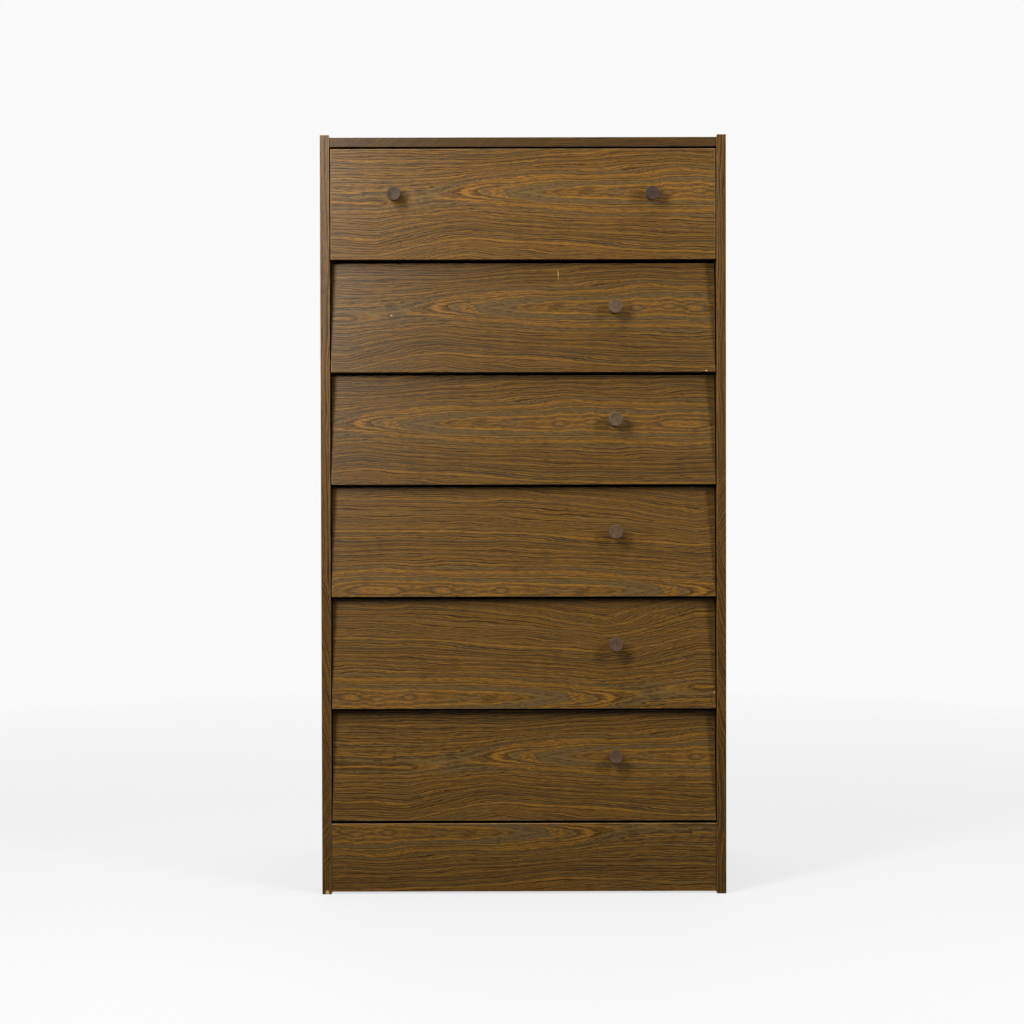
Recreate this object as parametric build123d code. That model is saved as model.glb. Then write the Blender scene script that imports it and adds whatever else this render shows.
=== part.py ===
from build123d import *
import os
from math import cos, radians, sin, tan

# Tall chest of six drawers in foil-covered chipboard. Millimetres.
# X runs left to right, Y from the front (negative) to the back, Z up from the floor.
# The origin is on the floor, in the middle of the whole chest, knobs included.

# ---------------------------------------------------------------- driving sizes
WIDTH = 700.0             # over both side panels
HEIGHT = 1312.0           # side panels, floor to top
DEPTH = 400.0             # side panels, front edge to back edge
BOARD = 16.0              # chipboard of the case, the plinth and the drawer fronts
TOP_DROP = 4.0            # the side panels stand this much above the top panel
PLINTH_LIFT = 4.0         # the plinth board stays this much off the floor
PLINTH_HEIGHT = 118.0
FACE_SETBACK = 2.5        # fronts and plinth lie this far behind the side panels' edges
EDGE_ROUND = 0.8          # softened edges of every foil-covered board

DRAWERS = 6               # counted from the top, number 1 is the upright one
LEAN = 5.4                # degrees by which fronts 2 to 6 lean back at the top
TOP_GAP = 4.0             # between the top panel and front 1
PLINTH_GAP = 5.0          # between the plinth and the lowest front
FRONT_GAP = 4.2           # between two fronts
FRONT_SIDE_GAP = 2.0      # between a front and the side panel

BOX_BOARD = 12.0          # sides and back of the drawer boxes
BOX_SIDE_GAP = 3.0        # between a drawer box and the side panel
BOX_LIFT = 12.0           # box above the bottom edge of its front
BOX_DROP = 28.0           # box below the top edge of its front
BOX_REAR_GAP = 14.0       # between a closed box and the back panel
BOX_ROUND = 0.6
BOTTOM_BOARD = 3.0        # hardboard drawer bottom
BOTTOM_LIFT = 9.0         # its underside above the lower edge of the box
BOTTOM_BITE = 5.0         # how far it reaches into its grooves
GROOVE_PLAY = 0.4

RUNNER_HEIGHT = 16.0
RUNNER_THICKNESS = 8.0
RUNNER_LIFT = 70.0        # runner centre above the lower edge of the box
RUNNER_FRONT = 30.0       # runner's front end behind the front board's rear face
RUNNER_REAR = 12.0        # runner's rear end in front of the back panel
RUNNER_PLAY_TOP = 0.4     # between runner and groove, above
RUNNER_PLAY = 0.8         # below and at the groove's closed end

BACK_BOARD = 3.0          # hardboard back panel
REBATE_DEPTH = 4.0        # step in the back edges that takes the back panel
REBATE_WIDTH = 9.0

KNOB_FACE = 25.0          # diameters and length of a knob
KNOB_BASE = 19.0
KNOB_LENGTH = 24.0
KNOB_RIM = 1.6
KNOB_DISH = 0.5           # the face is slightly hollow
KNOB_HEIGHT = 110.0       # knob centre above the front's bottom edge
KNOB_SPREAD = 221.5       # knob pair on front 1, each side of the middle
KNOB_RIGHT = 159.0        # single knob on fronts 2 to 6, right of the middle

KNOB_SCREW = 4.0          # diameter of the machine screw
KNOB_SCREW_BITE = 11.0    # depth of its thread in the knob
KNOB_SCREW_HEAD = 8.0
KNOB_SCREW_HEAD_HEIGHT = 2.6
KNOB_SCREW_PLAY = 0.3

CASE_DOWEL = 8.0          # diameter of the beech dowels in the case
CASE_DOWEL_IN_SIDE = 11.0
CASE_DOWEL_IN_END = 24.0
CASE_DOWEL_EDGE = 45.0    # outer dowels in from the panel's edges
PLINTH_DOWEL_EDGE = 28.0
BOX_DOWEL = 6.0
BOX_DOWEL_IN_FACE = 8.0
BOX_DOWEL_IN_END = 17.0
BOX_DOWEL_EDGE = 22.0
DOWEL_CHAMFER = 0.8

RUNNER_SCREW = 3.5        # countersunk screws that hold the runners
RUNNER_SCREW_HEAD = 6.6
RUNNER_SCREW_LENGTH = 18.0
RUNNER_SCREW_EDGE = 28.0
RUNNER_SCREW_SLOT = 0.9

NAIL = 1.6                # nails of the back panel
NAIL_HEAD = 4.0
NAIL_HEAD_HEIGHT = 0.8
NAIL_LENGTH = 20.0
NAIL_STEP = 165.0
NAIL_END = 40.0           # first nail from the panel's ends

# ------------------------------------------------------------- places worked out
inner_half = WIDTH / 2 - BOARD
knob_reach = KNOB_LENGTH - FACE_SETBACK
edge_y = (knob_reach - DEPTH) / 2              # front edges of the side panels
face_y = edge_y + FACE_SETBACK                 # front faces of plinth and fronts
back_y = edge_y + DEPTH                        # back edges of the side panels
back_face_y = back_y - REBATE_DEPTH            # front face of the back panel
top_under_z = HEIGHT - TOP_DROP - BOARD
plinth_top_z = PLINTH_LIFT + PLINTH_HEIGHT
fronts_space = top_under_z - TOP_GAP - plinth_top_z - PLINTH_GAP
front_height = (fronts_space - (DRAWERS - 1) * FRONT_GAP) / DRAWERS
pitch = front_height + FRONT_GAP
front_half = inner_half - FRONT_SIDE_GAP
box_half = inner_half - BOX_SIDE_GAP
box_height = front_height - BOX_LIFT - BOX_DROP
box_rear_y = back_face_y - BOX_REAR_GAP
runner_rear_y = back_face_y - RUNNER_REAR
groove_depth = RUNNER_THICKNESS - BOX_SIDE_GAP + RUNNER_PLAY


def block(low, high):
    """A plain box between two corners."""
    size = [b - a for a, b in zip(low, high)]
    middle = [(a + b) / 2 for a, b in zip(low, high)]
    return Pos(*middle) * Box(*size)


def panel(low, high, softening):
    """A board between two corners with every edge softened."""
    board = block(low, high)
    return fillet(board.edges(), softening)


def rod(start, direction, diameter, length):
    """A round bar from a point along a direction."""
    plane = Plane(origin=start, z_dir=direction)
    return plane * Cylinder(diameter / 2, length, align=(Align.CENTER, Align.CENTER, Align.MIN))


def dowel(start, direction, diameter, length):
    """A beech dowel with chamfered ends, from a point along a direction."""
    pin = rod(start, direction, diameter, length)
    return chamfer(pin.edges().filter_by(GeomType.CIRCLE), DOWEL_CHAMFER)


def turned(profile, start, direction):
    """A solid turned about its axis from (radius, distance) pairs."""
    outline = Polyline(*[(radius, distance) for radius, distance in profile], close=True)
    sketch = Plane.XZ * make_face(outline)
    solid = revolve(sketch, Axis.Z)
    return Plane(origin=start, z_dir=direction) * solid


def grouped(solids):
    """Several separate solids as one group."""
    return Compound(children=list(solids))


def drilled(board, tools):
    """A board less every tool of a list."""
    for tool in tools:
        board = board - tool
    return board


# ------------------------------------------------------------------- the fronts
def lean_of(number):
    """Front 1 is upright, the others lean back."""
    if number == 1:
        return 0.0
    return LEAN


def front_bottom_z(number):
    """Height of the bottom front edge of a drawer's front."""
    return plinth_top_z + PLINTH_GAP + (DRAWERS - number) * pitch


def front_frame(number):
    """Frame on the bottom front edge: local Y into the board, local Z up along it."""
    return Location((0, face_y, front_bottom_z(number)), (-lean_of(number), 0, 0))


def knob_places(number):
    """Places of the knobs across a front."""
    if number == 1:
        return [-KNOB_SPREAD, KNOB_SPREAD]
    return [KNOB_RIGHT]


def rear_face_y(number, height):
    """Y of a front's rear face at a height above its bottom edge."""
    lean = radians(lean_of(number))
    return face_y + BOARD / cos(lean) + height * tan(lean)


def box_bottom_z(number):
    return front_bottom_z(number) + BOX_LIFT


def bottom_board_z(number):
    """Underside of the drawer's hardboard bottom."""
    return box_bottom_z(number) + BOTTOM_LIFT


# -------------------------------------------------------------------- the knobs
def knob_outline():
    """Half of a knob's section: radius against distance from the front board."""
    face = KNOB_FACE / 2
    base = KNOB_BASE / 2
    rim_start = KNOB_LENGTH - KNOB_RIM
    outline = [Line((0, 0), (base, 0))]
    outline += [Line((base, 0), (face, rim_start))]
    outline += [ThreePointArc(
        (face, rim_start),
        (face - KNOB_RIM * (1 - cos(radians(45))), rim_start + KNOB_RIM * sin(radians(45))),
        (face - KNOB_RIM, KNOB_LENGTH))]
    outline += [Line((face - KNOB_RIM, KNOB_LENGTH), (0, KNOB_LENGTH - KNOB_DISH))]
    outline += [Line((0, KNOB_LENGTH - KNOB_DISH), (0, 0))]
    return Plane.XZ * make_face(Curve() + outline)


def knob(place):
    """One turned knob in the frame of its front, with the hole for its screw."""
    body = Plane(origin=(place, 0, KNOB_HEIGHT), z_dir=(0, -1, 0)) * revolve(knob_outline(), Axis.Z)
    thread = rod((place, 0, KNOB_HEIGHT), (0, -1, 0), KNOB_SCREW, KNOB_SCREW_BITE)
    return body - thread


def knob_screw(place):
    """Pan-head machine screw from inside the drawer, through the front into the knob."""
    start = (place, BOARD, KNOB_HEIGHT)
    shank = rod(start, (0, -1, 0), KNOB_SCREW, BOARD + KNOB_SCREW_BITE)
    head = rod(start, (0, 1, 0), KNOB_SCREW_HEAD, KNOB_SCREW_HEAD_HEIGHT)
    rim = head.edges().filter_by(GeomType.CIRCLE).sort_by(Axis.Y)[-1]
    head = fillet(rim, KNOB_SCREW_HEAD_HEIGHT / 2)
    slot_low = (place - KNOB_SCREW_HEAD, BOARD + KNOB_SCREW_HEAD_HEIGHT / 2, KNOB_HEIGHT - 0.5)
    slot_high = (place + KNOB_SCREW_HEAD, BOARD + KNOB_SCREW_HEAD_HEIGHT * 2, KNOB_HEIGHT + 0.5)
    return shank + head - block(slot_low, slot_high)


# ------------------------------------------------------------- the drawer boxes
def front_dowel_places():
    """Heights above a front's bottom edge of the dowels into the drawer sides."""
    return [BOX_LIFT + BOX_DOWEL_EDGE + BOTTOM_LIFT, BOX_LIFT + box_height - BOX_DOWEL_EDGE]


def front_dowels(number, shape):
    """Dowels, or their holes, between the front board and both drawer sides."""
    pins = []
    for side in (-1, 1):
        for height in front_dowel_places():
            start = (side * (box_half - BOX_BOARD / 2), BOARD - BOX_DOWEL_IN_FACE, height)
            pins.append(shape(start, (0, 1, 0), BOX_DOWEL, BOX_DOWEL_IN_FACE + BOX_DOWEL_IN_END))
    return [front_frame(number) * pin for pin in pins]


def back_dowels(number, shape):
    """Dowels, or their holes, between both drawer sides and the drawer back."""
    pins = []
    low = bottom_board_z(number) + BOTTOM_BOARD + BOX_DOWEL_EDGE
    high = box_bottom_z(number) + box_height - BOX_DOWEL_EDGE
    for side in (-1, 1):
        for height in (low, high):
            start = (side * (box_half - BOX_BOARD + BOX_DOWEL_IN_FACE), box_rear_y - BOX_BOARD / 2, height)
            length = BOX_DOWEL_IN_FACE + BOX_DOWEL_IN_END
            pins.append(shape(start, (-side, 0, 0), BOX_DOWEL, length))
    return pins


def bottom_groove(number):
    """Space that the bottom's grooves take in the sides and in the front board."""
    reach = box_half - BOX_BOARD + BOTTOM_BITE + GROOVE_PLAY
    low_z = bottom_board_z(number)
    room = block((-reach, face_y, low_z), (reach, box_rear_y + 1, low_z + BOTTOM_BOARD + GROOVE_PLAY))
    ahead = block((-WIDTH, -DEPTH, -HEIGHT), (WIDTH, BOARD - BOTTOM_BITE - GROOVE_PLAY, HEIGHT))
    return room - front_frame(number) * ahead


def drawer_front(number):
    """The foil-covered front board with its grooves and holes, in its leaning place."""
    board = panel((-front_half, 0, 0), (front_half, BOARD, front_height), EDGE_ROUND)
    for place in knob_places(number):
        start = (place, BOARD, KNOB_HEIGHT)
        board = board - rod(start, (0, -1, 0), KNOB_SCREW + 2 * KNOB_SCREW_PLAY, BOARD)
    board = front_frame(number) * board
    return drilled(board, front_dowels(number, rod) + [bottom_groove(number)])


def runner_groove(number, side):
    """Groove in the outer face of a drawer side, closed at the front."""
    centre_z = box_bottom_z(number) + RUNNER_LIFT
    top = RUNNER_HEIGHT / 2 + RUNNER_PLAY_TOP
    bottom = RUNNER_HEIGHT / 2 + RUNNER_PLAY
    front_y = rear_face_y(number, BOX_LIFT + RUNNER_LIFT) + RUNNER_FRONT - RUNNER_PLAY
    outer = side * (box_half + 1)
    inner = side * (box_half - groove_depth)
    low_x, high_x = sorted((outer, inner))
    slot = block((low_x, front_y, centre_z - bottom), (high_x, box_rear_y + 1, centre_z + top))
    closed_end = slot.edges().filter_by(Axis.X).group_by(Axis.Y)[0]
    return fillet(closed_end, RUNNER_HEIGHT / 2 - 1)


def drawer_side(number, side):
    """Side board, cut to the front's lean, grooved for its runner and for the bottom."""
    low_x, high_x = sorted((side * box_half, side * (box_half - BOX_BOARD)))
    low_z = box_bottom_z(number)
    board = panel((low_x, face_y, low_z), (high_x, box_rear_y, low_z + box_height), BOX_ROUND)
    ahead = block((-WIDTH, -DEPTH, -HEIGHT), (WIDTH, BOARD, HEIGHT))
    tools = [front_frame(number) * ahead, bottom_groove(number), runner_groove(number, side)]
    return drilled(board, tools + front_dowels(number, rod) + back_dowels(number, rod))


def drawer_back(number):
    """Back board between the sides, standing on the hardboard bottom."""
    half = box_half - BOX_BOARD
    low_z = bottom_board_z(number) + BOTTOM_BOARD
    high_z = box_bottom_z(number) + box_height
    board = panel((-half, box_rear_y - BOX_BOARD, low_z), (half, box_rear_y, high_z), BOX_ROUND)
    return drilled(board, back_dowels(number, rod))


def drawer_bottom(number):
    """Hardboard bottom, let into the sides and the front."""
    half = box_half - BOX_BOARD + BOTTOM_BITE
    low_z = bottom_board_z(number)
    sheet = block((-half, face_y, low_z), (half, box_rear_y, low_z + BOTTOM_BOARD))
    ahead = block((-WIDTH, -DEPTH, -HEIGHT), (WIDTH, BOARD - BOTTOM_BITE, HEIGHT))
    return sheet - front_frame(number) * ahead


def drawer(number):
    """Every piece of one drawer, by node name."""
    frame = front_frame(number)
    name = f"drawer_{number}_"
    places = knob_places(number)
    knobs = [frame * knob(place) for place in places]
    screws = [frame * knob_screw(place) for place in places]
    knob_name = "knob" if len(places) == 1 else "knobs"
    screw_name = "knob_screw" if len(places) == 1 else "knob_screws"
    return {
        name + "front": drawer_front(number),
        name + "side_left": drawer_side(number, -1),
        name + "side_right": drawer_side(number, 1),
        name + "back": drawer_back(number),
        name + "bottom": drawer_bottom(number),
        name + knob_name: grouped(knobs),
        name + screw_name: grouped(screws),
        name + "dowels": grouped(front_dowels(number, dowel) + back_dowels(number, dowel)),
    }


# ------------------------------------------------------------------ the runners
def runner(number, side):
    """Plastic strip with a round front end, on the side panel."""
    low_x, high_x = sorted((side * inner_half, side * (inner_half - RUNNER_THICKNESS)))
    centre_z = box_bottom_z(number) + RUNNER_LIFT
    front_y = rear_face_y(number, BOX_LIFT + RUNNER_LIFT) + RUNNER_FRONT
    low = (low_x, front_y, centre_z - RUNNER_HEIGHT / 2)
    high = (high_x, runner_rear_y, centre_z + RUNNER_HEIGHT / 2)
    strip = block(low, high)
    nose = strip.edges().filter_by(Axis.X).group_by(Axis.Y)[0]
    return fillet(nose, RUNNER_HEIGHT / 2 - 1)


def runner_screw_places(number):
    """Y and Z of the three screws of a runner."""
    front_y = rear_face_y(number, BOX_LIFT + RUNNER_LIFT) + RUNNER_FRONT
    first = front_y + RUNNER_SCREW_EDGE
    last = runner_rear_y - RUNNER_SCREW_EDGE
    centre_z = box_bottom_z(number) + RUNNER_LIFT
    return [(first, centre_z), ((first + last) / 2, centre_z), (last, centre_z)]


def runner_screw(number, side, place):
    """Countersunk screw, flush with the runner's face."""
    y, z = place
    head = RUNNER_SCREW_HEAD / 2
    shank = RUNNER_SCREW / 2
    cone = head - shank
    profile = [(0, 0), (head, 0), (shank, cone), (shank, RUNNER_SCREW_LENGTH - shank)]
    profile += [(0, RUNNER_SCREW_LENGTH)]
    return turned(profile, (side * (inner_half - RUNNER_THICKNESS), y, z), (side, 0, 0))


def runner_screws(side):
    """All screws of one side's runners, without their driving slots."""
    screws = []
    for number in range(1, DRAWERS + 1):
        screws += [runner_screw(number, side, place) for place in runner_screw_places(number)]
    return screws


def slotted(screw, side):
    """A screw with the driving slot cut across its head."""
    centre = screw.center()
    face_x = side * (inner_half - RUNNER_THICKNESS)
    half = RUNNER_SCREW_SLOT / 2
    low_x, high_x = sorted((face_x - side, face_x + side * RUNNER_SCREW_SLOT))
    low = (low_x, centre.Y - RUNNER_SCREW_HEAD, centre.Z - half)
    high = (high_x, centre.Y + RUNNER_SCREW_HEAD, centre.Z + half)
    return screw - block(low, high)


def runners(side):
    """The six runners of one side, countersunk for their screws."""
    strips = []
    for number in range(1, DRAWERS + 1):
        screws = [runner_screw(number, side, place) for place in runner_screw_places(number)]
        strips.append(drilled(runner(number, side), screws))
    return strips


# --------------------------------------------------------------------- the case
def case_dowel_row(y_places, z, shape):
    """Dowels, or their holes, from both side panels into the ends of one board."""
    pins = []
    length = CASE_DOWEL_IN_SIDE + CASE_DOWEL_IN_END
    for side in (-1, 1):
        for y in y_places:
            start = (side * (inner_half + CASE_DOWEL_IN_SIDE), y, z)
            pins.append(shape(start, (-side, 0, 0), CASE_DOWEL, length))
    return pins


def top_dowels(shape):
    places = [face_y + CASE_DOWEL_EDGE, (face_y + back_face_y) / 2, back_face_y - CASE_DOWEL_EDGE]
    return case_dowel_row(places, top_under_z + BOARD / 2, shape)


def bottom_dowels(shape):
    front = face_y + BOARD
    places = [front + CASE_DOWEL_EDGE, (front + back_face_y) / 2, back_face_y - CASE_DOWEL_EDGE]
    return case_dowel_row(places, plinth_top_z - BOARD / 2, shape)


def plinth_dowels(shape):
    low = case_dowel_row([face_y + BOARD / 2], PLINTH_LIFT + PLINTH_DOWEL_EDGE, shape)
    high = case_dowel_row([face_y + BOARD / 2], plinth_top_z - PLINTH_DOWEL_EDGE, shape)
    return low + high


def nail_rows():
    """X and Z of every nail of the back panel: up both sides, along top and bottom."""
    low_z = plinth_top_z - BOARD / 2
    high_z = top_under_z + BOARD / 2
    rise = high_z - low_z - 2 * NAIL_END
    steps = max(2, round(rise / NAIL_STEP))
    side_x = inner_half + REBATE_WIDTH / 2
    places = []
    for side in (-1, 1):
        places += [(side * side_x, low_z + NAIL_END + rise * i / steps) for i in range(steps + 1)]
    run = 2 * (inner_half - NAIL_END)
    across = max(2, round(run / NAIL_STEP))
    for z in (low_z, high_z):
        places += [(-run / 2 + run * i / across, z) for i in range(across + 1)]
    return places


def nail(place):
    """Flat-headed nail driven forwards through the back panel."""
    x, z = place
    shank = NAIL / 2
    head = NAIL_HEAD / 2
    profile = [(0, -NAIL_HEAD_HEIGHT), (head, -NAIL_HEAD_HEIGHT), (head, 0), (shank, 0)]
    profile += [(shank, NAIL_LENGTH - 2 * shank), (0, NAIL_LENGTH)]
    return turned(profile, (x, back_face_y + BACK_BOARD, z), (0, -1, 0))


def nails_near(low_x, high_x, low_z, high_z):
    """Nails whose places lie in a rectangle of the back."""
    places = [(x, z) for x, z in nail_rows() if low_x < x < high_x and low_z < z < high_z]
    return [nail(place) for place in places]


def side_panel(side):
    """Full-height side with its rebate, dowel holes, screw holes and nail holes."""
    low_x, high_x = sorted((side * inner_half, side * WIDTH / 2))
    board = panel((low_x, edge_y, 0), (high_x, back_y, HEIGHT), EDGE_ROUND)
    step_low, step_high = sorted((side * (inner_half - 1), side * (inner_half + REBATE_WIDTH)))
    rebate = block((step_low, back_face_y, -1), (step_high, back_y + 1, HEIGHT + 1))
    pins = top_dowels(rod) + bottom_dowels(rod) + plinth_dowels(rod)
    pins = [pin for pin in pins if pin.center().X * side > 0]
    nails = nails_near(low_x, high_x, 0, HEIGHT)
    return drilled(board, [rebate] + pins + runner_screws(side) + nails)


def top_panel():
    low = (-inner_half, face_y, top_under_z)
    high = (inner_half, back_face_y, top_under_z + BOARD)
    board = panel(low, high, EDGE_ROUND)
    nails = nails_near(-inner_half, inner_half, top_under_z, HEIGHT)
    return drilled(board, top_dowels(rod) + nails)


def bottom_panel():
    """Floor of the case, behind the plinth board and level with its top."""
    low = (-inner_half, face_y + BOARD, plinth_top_z - BOARD)
    high = (inner_half, back_face_y, plinth_top_z)
    board = panel(low, high, EDGE_ROUND)
    nails = nails_near(-inner_half, inner_half, 0, plinth_top_z)
    return drilled(board, bottom_dowels(rod) + nails)


def plinth_board():
    low = (-inner_half, face_y, PLINTH_LIFT)
    board = panel(low, (inner_half, face_y + BOARD, plinth_top_z), EDGE_ROUND)
    return drilled(board, plinth_dowels(rod))


def back_panel():
    """Hardboard sheet in the rebates, from the bottom panel to the top panel."""
    half = inner_half + REBATE_WIDTH - GROOVE_PLAY
    low = (-half, back_face_y, plinth_top_z - BOARD)
    sheet = block(low, (half, back_face_y + BACK_BOARD, top_under_z + BOARD))
    return drilled(sheet, [nail(place) for place in nail_rows()])


def case():
    """Every piece of the fixed case, by node name."""
    dowels = top_dowels(dowel) + bottom_dowels(dowel) + plinth_dowels(dowel)
    screws = [slotted(screw, side) for side in (-1, 1) for screw in runner_screws(side)]
    return {
        "side_panel_left": side_panel(-1),
        "side_panel_right": side_panel(1),
        "top_panel": top_panel(),
        "bottom_panel": bottom_panel(),
        "plinth_board": plinth_board(),
        "back_panel": back_panel(),
        "runners_left": grouped(runners(-1)),
        "runners_right": grouped(runners(1)),
        "runner_screws": grouped(screws),
        "case_dowels": grouped(dowels),
        "back_panel_nails": grouped(nail(place) for place in nail_rows()),
    }


# ------------------------------------------------------------------- the export
os.makedirs("parts", exist_ok=True)
pieces = case()
for drawer_number in range(1, DRAWERS + 1):
    pieces.update(drawer(drawer_number))
for node, shape in pieces.items():
    export_step(shape, f"parts/{node}.step")
print(len(pieces), "nodes; front height", round(front_height, 2), "pitch", round(pitch, 2))
print("front edge y", edge_y, "face y", face_y, "back y", back_y)
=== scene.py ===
# %% [markdown]
# # A tall chest of drawers in dark oak foil
# The chest is cheap, honest furniture: 16 mm chipboard wrapped in a printed oak foil, six drawers
# on plastic runners, round brown knobs. The boards and everything that slides come from the CAD
# frame and stay where they are. This script gives every one of them its finish, turns the knobs
# as fine surfaces of their own, and sets up the studio.

# %% Load the frame
from math import radians, tau

import bpy
import numpy as np
from mathutils import Matrix, Vector


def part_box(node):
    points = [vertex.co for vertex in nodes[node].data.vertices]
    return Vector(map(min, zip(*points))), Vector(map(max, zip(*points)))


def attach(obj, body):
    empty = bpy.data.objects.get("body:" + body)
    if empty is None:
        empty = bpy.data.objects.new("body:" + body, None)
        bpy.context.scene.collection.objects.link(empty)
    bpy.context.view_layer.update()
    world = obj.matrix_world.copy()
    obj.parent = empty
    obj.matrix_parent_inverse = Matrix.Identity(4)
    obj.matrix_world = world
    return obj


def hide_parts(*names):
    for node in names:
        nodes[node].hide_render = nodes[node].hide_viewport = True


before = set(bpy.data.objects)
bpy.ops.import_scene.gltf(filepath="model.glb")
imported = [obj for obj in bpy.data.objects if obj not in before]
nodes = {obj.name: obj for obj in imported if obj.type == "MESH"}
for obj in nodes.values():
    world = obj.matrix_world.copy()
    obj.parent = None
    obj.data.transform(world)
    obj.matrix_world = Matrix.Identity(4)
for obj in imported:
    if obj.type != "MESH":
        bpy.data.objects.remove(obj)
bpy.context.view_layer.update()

# %% [markdown]
# ## Places that everything else is worked out from
# Positions come from the frame. A front's own corner gives its leaning plane: the bottom front
# edge is where the front is furthest forward, and the lean follows from how far the top edge
# lies behind it.

# %% Sizes read from the frame
MM = 0.001
DRAWERS = range(1, 7)
BOARD = 16 * MM                      # thickness of the fronts' chipboard
LEAN_STEPS = 8                       # rounds in which the lean below settles


def front_plane(number):
    """Bottom front edge (y, z) and lean in radians of a drawer's front.

    The box of a board of height h and thickness t that leans back by a is h sin a + t cos a
    deep. The lean is found from the depth by a few steps of that equation."""
    low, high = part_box(f"drawer_{number}_front")
    depth = high.y - low.y
    lean = 0.0
    for _ in range(LEAN_STEPS):
        height = (high.z - low.z - BOARD * np.sin(lean)) / np.cos(lean)
        lean = np.arcsin(max(0.0, (depth - BOARD * np.cos(lean)) / height))
    return low.y, low.z + BOARD * np.sin(lean), float(lean)


for number in DRAWERS:
    y, z, lean = front_plane(number)
    print("front", number, "edge at y", round(y, 4), "z", round(z, 4),
          "lean", round(np.degrees(lean), 2), "degrees")

# %% [markdown]
# ## The camera
# It stands three metres in front of the chest at a little over half its height, level but for a
# hair, with a short telephoto lens, so that verticals stay upright and both sides are hidden.

# %% Camera
SENSOR = 36                          # mm, width of the camera's sensor
LENS = 61.066406                     # mm, a short telephoto
DISTANCE, EYE_HEIGHT, SIDESTEP = 3.0, 0.70, -0.020    # m
LOOK_DOWN, ROLL = 0.73, -0.13        # degrees
case_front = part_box("side_panel_left")[0].y
camera_data = bpy.data.cameras.new("studio_camera")
camera_data.sensor_width = SENSOR
camera_data.lens = LENS
camera = bpy.data.objects.new("studio_camera", camera_data)
bpy.context.scene.collection.objects.link(camera)
pitch = Matrix.Rotation(radians(90 - LOOK_DOWN), 4, "X")
roll = Matrix.Rotation(radians(ROLL), 4, "Z")
stand = Matrix.Translation((SIDESTEP, case_front - DISTANCE, EYE_HEIGHT))
camera.matrix_world = stand @ pitch @ roll
bpy.context.scene.camera = camera
print("camera at", [round(v, 3) for v in camera.location], "lens", round(camera_data.lens, 1), "mm")

# %% [markdown]
# ## Colours and nodes
# Colours are written the way a paint chip is, as sRGB hex, and one function turns them into the
# linear numbers that a shader needs. One other small function adds a node, so that each material
# below reads as a list of what happens to the surface.

# %% Helpers for materials


def linear(hex_colour):
    """sRGB hex to linear RGBA: each channel c becomes ((c + 0.055) / 1.055) to the power 2.4."""
    channels = [int(hex_colour[i:i + 2], 16) / 255 for i in (1, 3, 5)]
    lit = [c / 12.92 if c <= 0.04045 else ((c + 0.055) / 1.055) ** 2.4 for c in channels]
    return (*lit, 1.0)


def add(tree, kind, inputs=None, **settings):
    """Adds a node with its settings and links.

    An input's value is a number, a colour, a socket, or another node, which stands for the first
    of its outputs that is in use with its settings."""
    made = tree.nodes.new("ShaderNode" + kind)
    for name, value in settings.items():
        setattr(made, name, value)
    for place, value in (inputs or {}).items():
        if isinstance(value, bpy.types.Node):
            value = next(out for out in value.outputs if out.enabled)
        if isinstance(value, bpy.types.NodeSocket):
            tree.links.new(value, made.inputs[place])
        else:
            made.inputs[place].default_value = value
    return made


def new_material(name):
    """An empty material and its node tree."""
    material = bpy.data.materials.new(name)
    material.use_nodes = True
    material.node_tree.nodes.clear()
    return material, material.node_tree


def dress(node_name, material):
    """Gives a CAD node one material, in place of any that it has."""
    mesh = nodes[node_name].data
    mesh.materials.clear()
    mesh.materials.append(material)


# %% [markdown]
# ## Board coordinates
# A foil is printed flat and glued on, so its grain has to be drawn in the board's own directions:
# along the grain, across it, and through the thickness. A leaning front is first turned upright
# about its bottom edge. The narrow edges carry a strip of the same foil whose grain runs along
# the strip, so on those faces the thickness takes the place of the missing direction.

# %% Grain directions on a board
FACING = 0.72                        # a face looks along an axis past this part of its normal
FLAT, ROUNDED = 1.13, 1.30           # sum of the normal's parts beside an edge and on its round
STRIP_SHIFT = 37.0                   # mm, so that edge strips show another part of the print
END_SHIFT = 900.0                    # mm, the same for the boards' ends


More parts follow.
